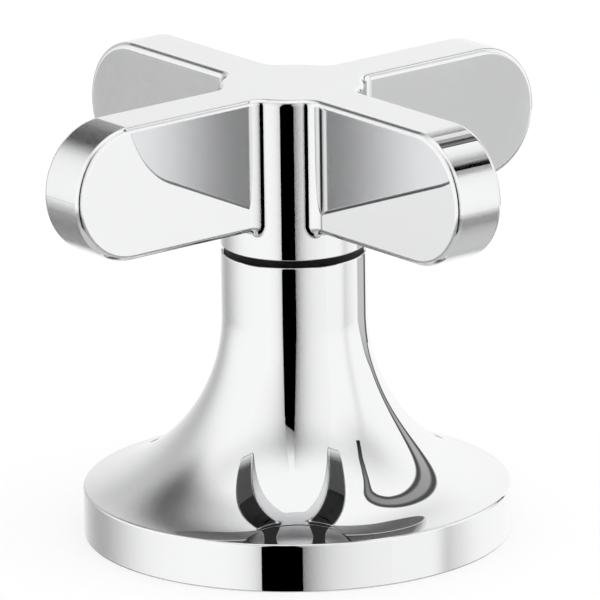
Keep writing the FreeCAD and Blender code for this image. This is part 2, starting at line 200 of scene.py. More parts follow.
def new_group(name, numbers, output):
    """Shader node group that takes a place and some named numbers, and gives one number."""
    tree = bpy.data.node_groups.new(name, "ShaderNodeTree")
    tree.interface.new_socket("Place", in_out="INPUT", socket_type="NodeSocketVector")
    for label in numbers:
        tree.interface.new_socket(label, in_out="INPUT", socket_type="NodeSocketFloat")
    tree.interface.new_socket(output, in_out="OUTPUT", socket_type="NodeSocketFloat")
    return tree, tree.nodes.new("NodeGroupInput").outputs, tree.nodes.new("NodeGroupOutput").inputs[output]


def arithmetic(tree, operation, *terms):
    """Result of one operation on node outputs and plain numbers."""
    node = tree.nodes.new("ShaderNodeMath")
    node.operation = operation
    for socket, term in zip(node.inputs, terms):
        if isinstance(term, float):
            socket.default_value = term
        else:
            tree.links.new(term, socket)
    return node.outputs["Value"]


def pattern(shader, group, **values):
    """Puts a node group in a finish, fed with the piece's own coordinates and with its values."""
    tree = shader.id_data
    node = tree.nodes.new("ShaderNodeGroup")
    node.node_tree = group
    tree.links.new(tree.nodes.new("ShaderNodeTexCoord").outputs["Object"], node.inputs["Place"])
    for label, value in values.items():
        node.inputs[label].default_value = value
    return node.outputs[0]


def tint(shader, source, dark, pale):
    """Mixes two colours by a 0 to 1 source, as the colour of a finish."""
    tree = shader.id_data
    node = tree.nodes.new("ShaderNodeMix")
    node.data_type = "RGBA"
    tree.links.new(source, node.inputs["Factor"])
    node.inputs["A"].default_value = (*dark, 1.0)
    node.inputs["B"].default_value = (*pale, 1.0)
    tree.links.new(node.outputs["Result"], shader.inputs["Base Color"])


def roughen(shader, source, low, high):
    """Carries a 0 to 1 source over to a range of roughness."""
    tree = shader.id_data
    node = tree.nodes.new("ShaderNodeMapRange")
    tree.links.new(source, node.inputs["Value"])
    node.inputs["To Min"].default_value = low
    node.inputs["To Max"].default_value = high
    tree.links.new(node.outputs["Result"], shader.inputs["Roughness"])


def engrave(shader, height, strength, depth):
    """Lets a 0 to 1 height stand proud of the surface by up to a depth in millimetres, as a bump."""
    tree = shader.id_data
    bump = tree.nodes.new("ShaderNodeBump")
    bump.inputs["Strength"].default_value = strength
    bump.inputs["Distance"].default_value = depth * MM
    tree.links.new(height, bump.inputs["Height"])
    tree.links.new(bump.outputs["Normal"], shader.inputs["Normal"])


# Polish haze: broad cloudy patches with a finer grain in them, as buffing leaves under plating
HAZE_BROAD = 0.65
HAZE_FINE = 0.35
haze_tree, haze_in, haze_out = new_group("polish_haze", ["Patch", "Grain"], "Haze")
broad_noise = haze_tree.nodes.new("ShaderNodeTexNoise")
fine_noise = haze_tree.nodes.new("ShaderNodeTexNoise")
for noise, scale in ((broad_noise, "Patch"), (fine_noise, "Grain")):
    haze_tree.links.new(haze_in["Place"], noise.inputs["Vector"])
    haze_tree.links.new(haze_in[scale], noise.inputs["Scale"])
fine_haze = arithmetic(haze_tree, "MULTIPLY", fine_noise.outputs["Fac"], HAZE_FINE)
whole_haze = arithmetic(haze_tree, "MULTIPLY_ADD", broad_noise.outputs["Fac"], HAZE_BROAD, fine_haze)
haze_tree.links.new(whole_haze, haze_out)

chrome, chrome_shader = new_finish("polished_chrome")
chrome_haze = pattern(chrome_shader, haze_tree, Patch=60.0, Grain=900.0)
tint(chrome_shader, chrome_haze, dark=(0.905, 0.908, 0.915), pale=(0.93, 0.933, 0.94))
roughen(chrome_shader, chrome_haze, low=0.01, high=0.03)
chrome_shader.inputs["Metallic"].default_value = 1.0

# Inside, where nobody polishes, the same plating lies dull over the marks of the lathe
marks_tree, marks_in, marks_out = new_group("tool_marks", ["Rings"], "Mark")
marks_split = marks_tree.nodes.new("ShaderNodeSeparateXYZ")
marks_flat = marks_tree.nodes.new("ShaderNodeCombineXYZ")
marks_radius = marks_tree.nodes.new("ShaderNodeVectorMath")
marks_radius.operation = "LENGTH"
marks_noise = marks_tree.nodes.new("ShaderNodeTexNoise")
marks_noise.noise_dimensions = "1D"
marks_noise.inputs["Scale"].default_value = 1.0
marks_tree.links.new(marks_in["Place"], marks_split.inputs["Vector"])
for axis in ("X", "Y"):
    marks_tree.links.new(marks_split.outputs[axis], marks_flat.inputs[axis])
marks_tree.links.new(marks_flat.outputs["Vector"], marks_radius.inputs[0])
marks_way = arithmetic(marks_tree, "ADD", marks_radius.outputs["Value"], marks_split.outputs["Z"])
marks_count = arithmetic(marks_tree, "MULTIPLY", marks_way, marks_in["Rings"])
marks_tree.links.new(marks_count, marks_noise.inputs["W"])
marks_tree.links.new(marks_noise.outputs["Fac"], marks_out)

dull, dull_shader = new_finish("dull_plating")
dull_marks = pattern(dull_shader, marks_tree, Rings=4200.0)
dull_haze = pattern(dull_shader, haze_tree, Patch=90.0, Grain=1500.0)
tint(dull_shader, dull_haze, dark=(0.5, 0.49, 0.47), pale=(0.66, 0.65, 0.63))
roughen(dull_shader, dull_marks, low=0.28, high=0.5)
dull_shader.inputs["Metallic"].default_value = 1.0
engrave(dull_shader, dull_marks, strength=0.35, depth=0.02)

trumpet_base.data.materials.append(chrome)
trumpet_base.data.materials.append(dull)
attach(trumpet_base, "base")
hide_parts("handle_base")

# Base gasket: a flat ring of black rubber with two moulded grooves, pressed into the groove under the rim.
# It is flush with the foot and keeps splashed water out of the deck's hole.
GASKET_IN_R = 20.5
GASKET_OUT_R = 25.0
GASKET_ROUND = 0.25
GASKET_GROOVE = 0.3
groove_radii = GASKET_IN_R + (GASKET_OUT_R - GASKET_IN_R) * np.array([1.0, 2.0]) / 3.0
gasket_profile = [
    straight((GASKET_IN_R + GASKET_ROUND, 0.0), (groove_radii[0] - GASKET_GROOVE, 0.0)),
    arc((groove_radii[0], 0.0), GASKET_GROOVE, 180.0, 0.0, steps=8),
    straight((groove_radii[0] + GASKET_GROOVE, 0.0), (groove_radii[1] - GASKET_GROOVE, 0.0)),
    arc((groove_radii[1], 0.0), GASKET_GROOVE, 180.0, 0.0, steps=8),
    straight((groove_radii[1] + GASKET_GROOVE, 0.0), (GASKET_OUT_R - GASKET_ROUND, 0.0)),
    arc((GASKET_OUT_R - GASKET_ROUND, GASKET_ROUND), GASKET_ROUND, -90.0, 0.0, steps=5),
    straight((GASKET_OUT_R, GASKET_ROUND), (GASKET_OUT_R, GASKET_DEPTH)),
    straight((GASKET_OUT_R, GASKET_DEPTH), (GASKET_IN_R, GASKET_DEPTH)),
    straight((GASKET_IN_R, GASKET_DEPTH), (GASKET_IN_R, GASKET_ROUND)),
    arc((GASKET_IN_R + GASKET_ROUND, GASKET_ROUND), GASKET_ROUND, 180.0, 270.0, steps=5),
]
rubber_ring = patch_piece("rubber_ring", lathe(gasket_profile, FULL_TURN))
rubber, rubber_shader = new_finish("black_rubber")
rubber_bloom = pattern(rubber_shader, haze_tree, Patch=160.0, Grain=2600.0)
tint(rubber_shader, rubber_bloom, dark=(0.016, 0.016, 0.017), pale=(0.045, 0.045, 0.047))
roughen(rubber_shader, rubber_bloom, low=0.6, high=0.85)
engrave(rubber_shader, rubber_bloom, strength=0.3, depth=0.03)
rubber_ring.data.materials.append(rubber)
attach(rubber_ring, "base")
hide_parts("base_gasket")

# Threaded insert: a turned brass ring with a fine thread cut in it, pressed into the base against a shoulder.
# The whole base screws down on the valve by it.
INSERT_FOOT = 5.2
INSERT_R = 12.45
INSERT_BREAK = 0.2
THREAD_MINOR_R = 10.45
THREAD_MAJOR_R = 11.0
THREAD_LEAD_IN = 0.55
INSERT_PITCH = 1.0
THREAD_STEPS = 60
THREAD_FADE = 0.6
THREAD_SHARES = np.array([0.0, 0.25, 0.5625, 0.6875, 1.0])
THREAD_RISE = np.array([0.0, 0.0, 1.0, 1.0, 0.0])
THREAD_TURN = np.linspace(0.0, 2.0 * math.pi, THREAD_STEPS + 1)


def dots(*coordinates):
    """Grid of points from three arrays of coordinates that share a shape."""
    return np.stack(np.broadcast_arrays(*coordinates), axis=-1).astype(float)


def thread(base_r, tip_r, pitch, low, high, side=1.0):
    """Screw thread about Z between two heights: a profile carried up a helix.

    In each pitch the profile goes from base_r to tip_r and back, by a root, a flank, a crest and a flank.
    It grows from nothing over a part of the first turn and dies away over the last. One plain wedge below
    the first turn and one above the last make both ends level. side is -1 for a thread in a hole.
    """
    steps = round(((high - low) / pitch - 1.0) * THREAD_STEPS)
    turns = np.arange(steps + 1) / THREAD_STEPS
    growth = np.clip(np.minimum(turns, turns[-1] - turns) / THREAD_FADE, 0.0, 1.0)
    rays = dots(np.cos(2.0 * math.pi * turns), np.sin(2.0 * math.pi * turns), 0.0)
    upright = np.array([0.0, 0.0, 1.0])
    radii = base_r + (tip_r - base_r) * THREAD_RISE[:, None] * growth
    heights = low + pitch * (turns + THREAD_SHARES[:, None])
    points = radii[..., None] * rays + heights[..., None] * upright
    slopes = np.diff(radii, axis=0) / (pitch * np.diff(THREAD_SHARES)[:, None])
    ways = side * (rays - slopes[..., None] * upright)
    ways = ways / np.linalg.norm(ways, axis=2, keepdims=True)
    strips = [(points[row:row + 2], ways[row]) for row in range(len(slopes))]
    first, last = slice(0, THREAD_STEPS + 1), slice(steps - THREAD_STEPS, steps + 1)
    below = low + THREAD_SHARES[:, None] * pitch * turns[first]
    above = heights[-1, last] + THREAD_SHARES[:, None] * (high - heights[-1, last])
    wedges = [(base_r * rays[part] + level[..., None] * upright, side * rays[part])
              for part, level in ((first, below), (last, above))]
    return strips + wedges


thread_foot = INSERT_FOOT + THREAD_LEAD_IN
thread_top = INSERT_TOP - THREAD_LEAD_IN
insert_profile = chain(
    (THREAD_MINOR_R, thread_foot),
    (THREAD_MAJOR_R, INSERT_FOOT),
    (INSERT_R - INSERT_BREAK, INSERT_FOOT),
    (INSERT_R, INSERT_FOOT + INSERT_BREAK),
    (INSERT_R, INSERT_TOP),
    (THREAD_MAJOR_R, INSERT_TOP),
    (THREAD_MINOR_R, thread_top),
)
valve_thread = thread(THREAD_MINOR_R, THREAD_MAJOR_R, INSERT_PITCH, thread_foot, thread_top, side=-1.0)
brass_ring = patch_piece("brass_ring", lathe(insert_profile, THREAD_TURN) + valve_thread)
brass, brass_shader = new_finish("machined_brass")
brass_marks = pattern(brass_shader, marks_tree, Rings=6000.0)
tint(brass_shader, brass_marks, dark=(0.56, 0.37, 0.14), pale=(0.78, 0.58, 0.29))
roughen(brass_shader, brass_marks, low=0.18, high=0.4)
brass_shader.inputs["Metallic"].default_value = 1.0
engrave(brass_shader, brass_marks, strength=0.3, depth=0.015)
brass_ring.data.materials.append(brass)
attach(brass_ring, "base")
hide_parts("threaded_insert")

# Glide ring: a flanged sleeve of black acetal, turned and pressed into the neck's seat.
# The hub's spigot turns in it, and its flange shows in the gap between the hub and the neck.
# Its colour and its sheen are darker than black acetal's own, as painted shade for that gap.
acetal_and_gap_shade, acetal_and_gap_shade_shader = new_finish("black_acetal_and_gap_shade")
acetal_marks = pattern(acetal_and_gap_shade_shader, marks_tree, Rings=9000.0)
# Painted shade: a near-black colour and, below, a weak sheen, so the gap between hub and neck reads dark
tint(acetal_and_gap_shade_shader, acetal_marks, dark=(0.002, 0.002, 0.002), pale=(0.005, 0.005, 0.005))
roughen(acetal_and_gap_shade_shader, acetal_marks, low=0.3, high=0.5)
acetal_and_gap_shade_shader.inputs["Specular IOR Level"].default_value = 0.15
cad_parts["glide_ring"].material_slots[0].material = acetal_and_gap_shade

# Cross handle: one brass casting, ground, polished and plated, with four straight arms that have round ends.
# It is bored from below for the brass adapter, and a set screw comes in through the hub between two arms.
handle_low, handle_high = (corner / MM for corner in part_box("cross_handle"))
HALF_SPAN = handle_high.x
HANDLE_TOP = handle_high.z
SPIGOT_FOOT = handle_low.z
HUB_R = NECK_R
ARM_HALF = 3.6
ARM_HEIGHT = 17.1
COLLAR = 3.6
COLLAR_ROUND = 0.15
EDGE = 0.8
FILLET = 2.4
FOOT_FILLET = 0.5
SPIGOT_R = 6.64
SPIGOT_CHAMFER = 0.3
BORE_R = 5.54
BORE_TOP = 51.0045
SET_HEIGHT = 47.5045
SET_HOLE_R = 2.04
SET_WINDOW = 2.74
BORE_WINDOW = 2.8
ROUND_STEPS = 8
FILLET_STEPS = 14
HUB_STEPS = 12
FLOOR_STEPS = 8
ARM_STEPS = 20
END_STEPS = 32
WINDOW_STEPS = 24
HOLE_STEPS = 6
SKIN_ROWS = 5


def rolling_ball(centres, radii, hub_way, arm_way):
    """Hollow corner that a ball of changing size leaves as it rolls along the hub and an arm.

    Each centre gives a fan of points one ball radius away, turned evenly from the hub's way to the arm's way.
    The normals point back at the centre.
    """
    share = np.linspace(0.0, 1.0, FILLET_STEPS + 1)[None, :, None]
    opening = np.arccos((hub_way * arm_way).sum(axis=1))[:, None, None]
    fan = np.sin((1.0 - share) * opening) * hub_way[:, None] + np.sin(share * opening) * arm_way[:, None]
    fan = fan / np.sin(opening)
    return centres[:, None] + radii[:, None, None] * fan, -fan


def ring_patch(radius, turns, heights, side=1.0):
    """Part of an upright cylinder about Z over a grid of angles and heights; side is -1 for a bore."""
    ways = dots(np.cos(turns), np.sin(turns), np.zeros_like(turns))
    return ways * [radius, radius, 0.0] + dots(0.0, 0.0, heights), ways * side


def window_with_hole(radius, turns, heights, side=1.0):
    """Part of an upright cylinder with the set screw's round hole in it.

    The window's edge, in order round it, is drawn in towards the hole in even steps of angle and height.
    Also gives the angle round the hole at each of those places.
    """
    edge_turn = np.concatenate([turns, np.full(len(heights) - 2, turns[-1]), turns[::-1],
                                np.full(len(heights) - 1, turns[0])])
    edge_height = np.concatenate([np.full(len(turns), heights[0]), heights[1:-1],
                                  np.full(len(turns), heights[-1]), heights[-2::-1]])
    bearing = np.unwrap(np.arctan2(edge_height - SET_HEIGHT, radius * (edge_turn - math.pi / 4.0)))
    hole_turn = math.pi / 4.0 + np.arcsin(SET_HOLE_R * np.cos(bearing) / radius)
    hole_height = SET_HEIGHT + SET_HOLE_R * np.sin(bearing)
    share = np.linspace(0.0, 1.0, HOLE_STEPS + 1)[:, None]
    turn = edge_turn + share * (hole_turn - edge_turn)
    height = edge_height + share * (hole_height - edge_height)
    return ring_patch(radius, turn, height, side), bearing


def hole_wall(outer_bearing, inner_bearing):
    """Wall of the set screw's hole from the hub's skin in to the bore, round its slanting axis in plan."""
    share = np.linspace(0.0, 1.0, HOLE_STEPS + 1)[:, None]
    bearing = outer_bearing + share * (inner_bearing - outer_bearing)
    aside = SET_HOLE_R * np.cos(bearing)
    outer = np.sqrt(HUB_R**2 - aside**2)
    along = outer + share * (np.sqrt(BORE_R**2 - aside**2) - outer)
    half = math.sqrt(0.5)
    points = dots((along - aside) * half, (along + aside) * half, SET_HEIGHT + SET_HOLE_R * np.sin(bearing))
    return points, dots(np.cos(bearing) * half, -np.cos(bearing) * half, -np.sin(bearing))


arm_foot = HANDLE_TOP - ARM_HEIGHT
arm_middle = HANDLE_TOP - ARM_HEIGHT / 2.0
end_r = ARM_HEIGHT / 2.0
end_x = HALF_SPAN - end_r
hub_foot = arm_foot - COLLAR
ball_r = HUB_R + FILLET
ball_y = ARM_HALF + FILLET
ball_x = math.sqrt(ball_r**2 - ball_y**2)
hub_turn = math.atan2(ball_y, ball_x)
edge_turns = np.linspace(0.0, math.pi / 2.0, ROUND_STEPS + 1)
side_heights = np.concatenate([
    [arm_foot + EDGE],
    np.linspace(SET_HEIGHT - SET_WINDOW, SET_HEIGHT + SET_WINDOW, WINDOW_STEPS + 1),
    [HANDLE_TOP - EDGE],
])
arm_x = np.linspace(ball_x, end_x, ARM_STEPS + 1)
arm_y = np.linspace(ARM_HALF - EDGE, 0.0, FLOOR_STEPS + 1)
hub_turns = np.linspace(hub_turn, math.pi / 4.0, HUB_STEPS + 1)

# Path of the ball's centre: down the arm's side, round its lower edge and in under it, where it is smaller
side_path = dots(ball_x, ball_y, side_heights[::-1])
edge_radii = np.linspace(FILLET, FOOT_FILLET, ROUND_STEPS + 1)
edge_y = ARM_HALF - EDGE + (EDGE + edge_radii) * np.cos(edge_turns)
edge_x = np.sqrt((HUB_R + edge_radii) ** 2 - edge_y**2)
edge_path = dots(edge_x, edge_y, arm_foot + EDGE - (EDGE + edge_radii) * np.sin(edge_turns))
floor_path = dots(np.sqrt((HUB_R + FOOT_FILLET) ** 2 - arm_y**2), arm_y, arm_foot - FOOT_FILLET)
corner_patches = []
for path, radii, arm_way in (
    (side_path, np.full(len(side_path), FILLET), dots(0.0, -np.ones(len(side_path)), 0.0)),
    (edge_path, edge_radii, dots(0.0, -np.cos(edge_turns), np.sin(edge_turns))),
    (floor_path, np.full(len(floor_path), FOOT_FILLET), dots(0.0, 0.0, np.ones(len(floor_path)))),
):
    hub_way = -path * [1.0, 1.0, 0.0] / (HUB_R + radii)[:, None]
    corner_patches.append(rolling_ball(path, radii, hub_way, arm_way))

# Outline of the flat top: along the arm, round the hollow corner and along the hub
corner_turn = np.linspace(-math.pi / 2.0, hub_turn - math.pi, FILLET_STEPS + 1)
top_x = np.concatenate([arm_x[::-1], np.full(FILLET_STEPS, ball_x), np.zeros(HUB_STEPS)])
top_y = np.concatenate([np.zeros(ARM_STEPS + 1), np.full(FILLET_STEPS, ball_y), np.zeros(HUB_STEPS)])
top_way = np.concatenate([np.full(ARM_STEPS + 1, math.pi / 2.0), corner_turn[1:], hub_turns[1:]])
top_hollow = np.repeat([0.0, 1.0, 0.0], [ARM_STEPS + 1, FILLET_STEPS, HUB_STEPS])
top_reach = np.repeat([ARM_HALF, FILLET, HUB_R], [ARM_STEPS + 1, FILLET_STEPS, HUB_STEPS])
top_sign = 1.0 - 2.0 * top_hollow
inset = EDGE * (1.0 - np.cos(edge_turns))[:, None]
reach = top_reach - top_sign * inset
top_round = (
    dots(top_x + reach * np.cos(top_way), top_y + reach * np.sin(top_way),
         (HANDLE_TOP - EDGE + EDGE * np.sin(edge_turns))[:, None]),
    dots(top_sign * np.cos(top_way) * np.cos(edge_turns)[:, None],
         top_sign * np.sin(top_way) * np.cos(edge_turns)[:, None], np.sin(edge_turns)[:, None]),
)
spine = np.concatenate([arm_x[::-1], np.linspace(ball_x, 0.0, FILLET_STEPS + HUB_STEPS + 1)[1:]])
to_spine = np.linspace(0.0, 1.0, FLOOR_STEPS + 1)[:, None]
top_edge = top_round[0][-1]
top_flat_x = top_edge[:, 0] + to_spine * (spine - top_edge[:, 0])
top_flat_y = top_edge[:, 1] * (1.0 - to_spine)
top_flat = (dots(top_flat_x, top_flat_y, HANDLE_TOP), dots(0.0, 0.0, np.ones_like(top_flat_x)))

# Flat side, round end and rounded edges of the arm
end_turns = np.linspace(-math.pi / 2.0, math.pi / 2.0, 2 * END_STEPS + 1)
tip_turns = np.linspace(0.0, math.pi / 2.0, END_STEPS + 1)[1:]
side_x = np.concatenate([arm_x, end_x + (end_r - EDGE) * np.sin(tip_turns)])[:, None]
side_squeeze = np.concatenate([np.ones(ARM_STEPS + 1), np.cos(tip_turns)])[:, None]
side_z = arm_middle + (side_heights - arm_middle) * side_squeeze
side_flat = (dots(side_x, ARM_HALF, side_z), dots(0.0, np.ones_like(side_z), 0.0))
edge_out = (end_r - EDGE + EDGE * np.sin(edge_turns))[:, None]
end_round = (
    dots(end_x + edge_out * np.cos(end_turns), (ARM_HALF - EDGE + EDGE * np.cos(edge_turns))[:, None],
         arm_middle + edge_out * np.sin(end_turns)),
    dots(np.sin(edge_turns)[:, None] * np.cos(end_turns), np.cos(edge_turns)[:, None],
         np.sin(edge_turns)[:, None] * np.sin(end_turns)),
)
end_face = (
    dots(end_x + end_r * np.cos(end_turns), arm_y[:, None], arm_middle + end_r * np.sin(end_turns)),
    dots(np.cos(end_turns), np.zeros_like(arm_y)[:, None], np.sin(end_turns)),
)
along = np.linspace(0.0, 1.0, ARM_STEPS + 1)
foot_x = edge_path[:, :1] + along * (end_x - edge_path[:, :1])
foot_round = (
    dots(foot_x, (ARM_HALF - EDGE + EDGE * np.cos(edge_turns))[:, None],
         (arm_foot + EDGE - EDGE * np.sin(edge_turns))[:, None]),
    dots(np.zeros_like(foot_x), np.cos(edge_turns)[:, None], -np.sin(edge_turns)[:, None]),
)
floor_x = floor_path[:, :1] + along * (end_x - floor_path[:, :1])
foot_flat = (dots(floor_x, arm_y[:, None], arm_foot), dots(0.0, 0.0, -np.ones_like(floor_x)))

# Hub's skin below and beside the arm, and everything turned below it and inside it
low_path = np.concatenate([edge_path[:-1], floor_path])[::-1]
low_turns = np.arctan2(low_path[:, 1], low_path[:, 0])
skin_turns = np.concatenate([low_turns[:-1], hub_turns])
skin_tops = np.concatenate([low_path[:-1, 2], np.full(HUB_STEPS + 1, arm_foot + EDGE)])
skin_foot = hub_foot + COLLAR_ROUND
skin_heights = skin_foot + np.linspace(0.0, 1.0, SKIN_ROWS)[:, None] * (skin_tops - skin_foot)
bore_rows = WINDOW_STEPS - 2 * ROUND_STEPS
bore_heights = np.linspace(SET_HEIGHT - BORE_WINDOW, SET_HEIGHT + BORE_WINDOW, bore_rows + 1)
collar_round = arc((HUB_R - COLLAR_ROUND, skin_foot), COLLAR_ROUND, -90.0, 0.0, steps=6)
turned_hub = chain(
    (0.0, BORE_TOP),
    (BORE_R, BORE_TOP),
    (BORE_R, bore_heights[-1]),
) + chain(
    (BORE_R, bore_heights[0]),
    (BORE_R, SPIGOT_FOOT),
    (SPIGOT_R - SPIGOT_CHAMFER, SPIGOT_FOOT),
    (SPIGOT_R, SPIGOT_FOOT + SPIGOT_CHAMFER),
    (SPIGOT_R, hub_foot),
    (HUB_R - COLLAR_ROUND, hub_foot),
)
bore_side = low_turns[: FLOOR_STEPS + 1]
skin_eighth = corner_patches + [
    top_round, top_flat, side_flat, end_round, end_face, foot_round, foot_flat,
    ring_patch(HUB_R, skin_turns, skin_heights),
    ring_patch(HUB_R, hub_turns, side_heights[:2, None]),
    ring_patch(HUB_R, hub_turns, side_heights[-2:, None]),
] + lathe([collar_round], skin_turns)
bore_strip = ring_patch(BORE_R, bore_side, bore_heights[:, None], side=-1.0)
inside_eighth = [bore_strip] + lathe(turned_hub, skin_turns)

# The eighth between an arm's middle and the hub's middle is mirrored, and the pair is turned to all four arms
ARM_WAYS = ((1.0, 0.0), (0.0, 1.0), (-1.0, 0.0), (0.0, -1.0))
QUARTERS = [np.array([[x, -y, 0.0], [y, x, 0.0], [0.0, 0.0, 1.0]]) for x, y in ARM_WAYS]
EIGHTHS = [quarter @ flip for quarter in QUARTERS for flip in (np.eye(3), np.diag([1.0, -1.0, 1.0]))]


def turned(patches, turns):
    """The same patches, turned or mirrored by each matrix of a list."""
    return [(points @ turn.T, ways @ turn.T) for turn in turns for points, ways in patches]


# Windows midway between the arms: three are whole, and one has the set screw's hole
window_turns = np.concatenate([hub_turns, math.pi / 2.0 - hub_turns[-2::-1]])
window_heights = side_heights[1:-1]
bore_turns = np.concatenate([skin_turns[FLOOR_STEPS:], math.pi / 2.0 - skin_turns[-2:FLOOR_STEPS - 1:-1]])
whole_window = ring_patch(HUB_R, window_turns, window_heights[:, None])
whole_bore = ring_patch(BORE_R, bore_turns, bore_heights[:, None], side=-1.0)
hub_window, outer_bearing = window_with_hole(HUB_R, window_turns, window_heights)
bore_window, inner_bearing = window_with_hole(BORE_R, bore_turns, bore_heights, side=-1.0)
bored_wall = hole_wall(outer_bearing, inner_bearing)
cross_skin = turned(skin_eighth, EIGHTHS) + turned([whole_window], QUARTERS[1:]) + [hub_window]
cross_inside = turned(inside_eighth, EIGHTHS) + turned([whole_bore], QUARTERS[1:]) + [bore_window, bored_wall]
cross_casting = patch_piece("cross_casting", cross_skin, cross_inside)
cross_casting.data.materials.append(chrome)
cross_casting.data.materials.append(dull)
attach(cross_casting, "handle")
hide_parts("cross_handle")

# Stem adapter: a turned brass post with a splined socket for the valve's stem, a slip fit in the hub's bore.
# A flat on its side takes the set screw, and the pocket on top takes the head of the adapter screw.
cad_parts["stem_adapter"].material_slots[0].material = brass

# Adapter screw: a stainless socket-head screw with a coarse thread, which holds the adapter down on the stem.
# Its head bears on the web between the adapter's pocket and its socket.
WEB_TOP = 43.5045
SCREW_LENGTH = 10.0
SCREW_TIP = 0.5
SCREW_MINOR_R = 1.62
SCREW_R = 2.0
SCREW_PITCH = 0.7
SCREW_THREAD = 12.8 * SCREW_PITCH
HEAD_R = 3.6
HEAD_HEIGHT = 2.6
HEAD_ROUND = 0.5
SCREW_KEY = 2.5
SCREW_KEY_DEPTH = 1.5


def key_socket(rim_r, across, top, depth):
    """Flat end of a screw with a six-sided hole in it, of a given width across its flats.

    At each angle the hole's edge is half that width over the cosine of the angle from the middle of a flat.
    """
    sixth = math.pi / 3.0
    edge_r = across / 2.0 / np.cos(THREAD_TURN % sixth - sixth / 2.0)
    rim = dots(np.cos(THREAD_TURN), np.sin(THREAD_TURN), 0.0)
    up = dots(0.0, 0.0, np.ones(len(THREAD_TURN)))
    edge = edge_r[:, None] * rim
    end = (np.stack([rim_r * rim, edge]) + up * top, up)
    pit = (np.stack([edge, 0.0 * edge]) + up * (top - depth), up)
    flat = THREAD_STEPS // 6
    walls = []
    for side in range(6):
        part = slice(side * flat, (side + 1) * flat + 1)
        middle = (side + 0.5) * sixth
        wall = np.stack([edge[part] + up[part] * top, edge[part] + up[part] * (top - depth)])
        walls.append((wall, np.array([-math.cos(middle), -math.sin(middle), 0.0])))
    return [end, pit] + walls


screw_foot = WEB_TOP - SCREW_LENGTH
screw_top = WEB_TOP + HEAD_HEIGHT
screw_thread_foot = screw_foot + SCREW_TIP
screw_thread_top = screw_thread_foot + SCREW_THREAD
screw_profile = chain(
    (0.0, screw_foot),
    (SCREW_R - SCREW_TIP, screw_foot),
    (SCREW_MINOR_R, screw_thread_foot),
) + chain(
    (SCREW_MINOR_R, screw_thread_top),
    (SCREW_MINOR_R, WEB_TOP),
    (HEAD_R, WEB_TOP),
    (HEAD_R, screw_top - HEAD_ROUND),
) + [
    arc((HEAD_R - HEAD_ROUND, screw_top - HEAD_ROUND), HEAD_ROUND, 0.0, 90.0, steps=5),
]
steel_screw = patch_piece(
    "steel_screw", lathe(screw_profile, THREAD_TURN)
    + thread(SCREW_MINOR_R, SCREW_R, SCREW_PITCH, screw_thread_foot, screw_thread_top)
    + key_socket(HEAD_R - HEAD_ROUND, SCREW_KEY, screw_top, SCREW_KEY_DEPTH))
steel, steel_shader = new_finish("stainless_steel")
steel_haze = pattern(steel_shader, haze_tree, Patch=700.0, Grain=5200.0)
tint(steel_shader, steel_haze, dark=(0.5, 0.495, 0.485), pale=(0.68, 0.675, 0.665))
roughen(steel_shader, steel_haze, low=0.2, high=0.42)
steel_shader.inputs["Metallic"].default_value = 1.0
steel_screw.data.materials.append(steel)
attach(steel_screw, "handle")
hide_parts("adapter_screw")

# Set screw: a headless stainless screw with a cup point, turned in through the hub's hole with a small key.
# Its point bears on the adapter's flat and holds the handle on.
SET_TIP_R = 5.04
SET_LENGTH = 3.8
SET_TIP = 0.5
SET_CUP_R = 0.9
SET_CUP_DEPTH = 0.4
SET_THREAD = 4.4 * SCREW_PITCH
SET_KEY = 2.0
SET_KEY_DEPTH = 1.8
set_thread_top = SET_TIP + SET_THREAD
set_profile = chain(
    (0.0, SET_CUP_DEPTH),
    (SET_CUP_R, 0.0),
    (SCREW_R - SET_TIP, 0.0),
    (SCREW_MINOR_R, SET_TIP),
) + chain(
    (SCREW_MINOR_R, set_thread_top),
    (SCREW_MINOR_R, SET_LENGTH),
)
set_stud = (lathe(set_profile, THREAD_TURN)
            + thread(SCREW_MINOR_R, SCREW_R, SCREW_PITCH, SET_TIP, set_thread_top)
            + key_socket(SCREW_MINOR_R, SET_KEY, SET_LENGTH, SET_KEY_DEPTH))

# The stud is laid on its side, with its own axis pointing out between the two arms
half_root = math.sqrt(0.5)
set_axes = np.array([[0.0, 0.0, 1.0], [half_root, -half_root, 0.0], [half_root, half_root, 0.0]])
set_place = np.array([SET_TIP_R * half_root, SET_TIP_R * half_root, SET_HEIGHT])
laid_stud = [(points @ set_axes + set_place, ways @ set_axes) for points, ways in set_stud]
steel_stud = patch_piece("steel_stud", laid_stud)
steel_stud.data.materials.append(steel)
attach(steel_stud, "handle")
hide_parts("set_screw")

# Studio: a plain white floor that keeps a faint shadow, an even white surround and one soft lamp overhead.
# Dark gauze hangs round it for the plating to mirror. It lights nothing, and the lens looks past it.
VIEW_AZIMUTH = -38.82
VIEW_ELEVATION = 16.246
VIEW_DISTANCE = 1321.7
VIEW_ASIDE = 0.686
VIEW_HEIGHT = 30.016
LAMP_SIZE = 0.6
LAMP_POWER = 2.0
LAMP_PLACE = (0.1, -0.2, 0.9)
LAMP_AIM = (0.0, 0.0, 0.03)
FLOOR_REACH = 6.0
FLOOR_WHITE = 0.92
FLOOR_ROUGHNESS = 0.9
FLOOR_GLOW = 0.75

world = bpy.data.worlds.new("white_surround")
world.use_nodes = True
world.node_tree.nodes["Background"].inputs["Color"].default_value = (1.0, 1.0, 1.0, 1.0)
world.node_tree.nodes["Background"].inputs["Strength"].default_value = 1.0
bpy.context.scene.world = world

lamp = bpy.data.objects.new("overhead_lamp", bpy.data.lights.new("overhead_lamp", "AREA"))
lamp.data.size = LAMP_SIZE
lamp.data.energy = LAMP_POWER
lamp.location = LAMP_PLACE
lamp.rotation_euler = (Vector(LAMP_AIM) - lamp.location).to_track_quat("-Z", "Y").to_euler()
lamp.visible_glossy = False
bpy.context.scene.collection.objects.link(lamp)

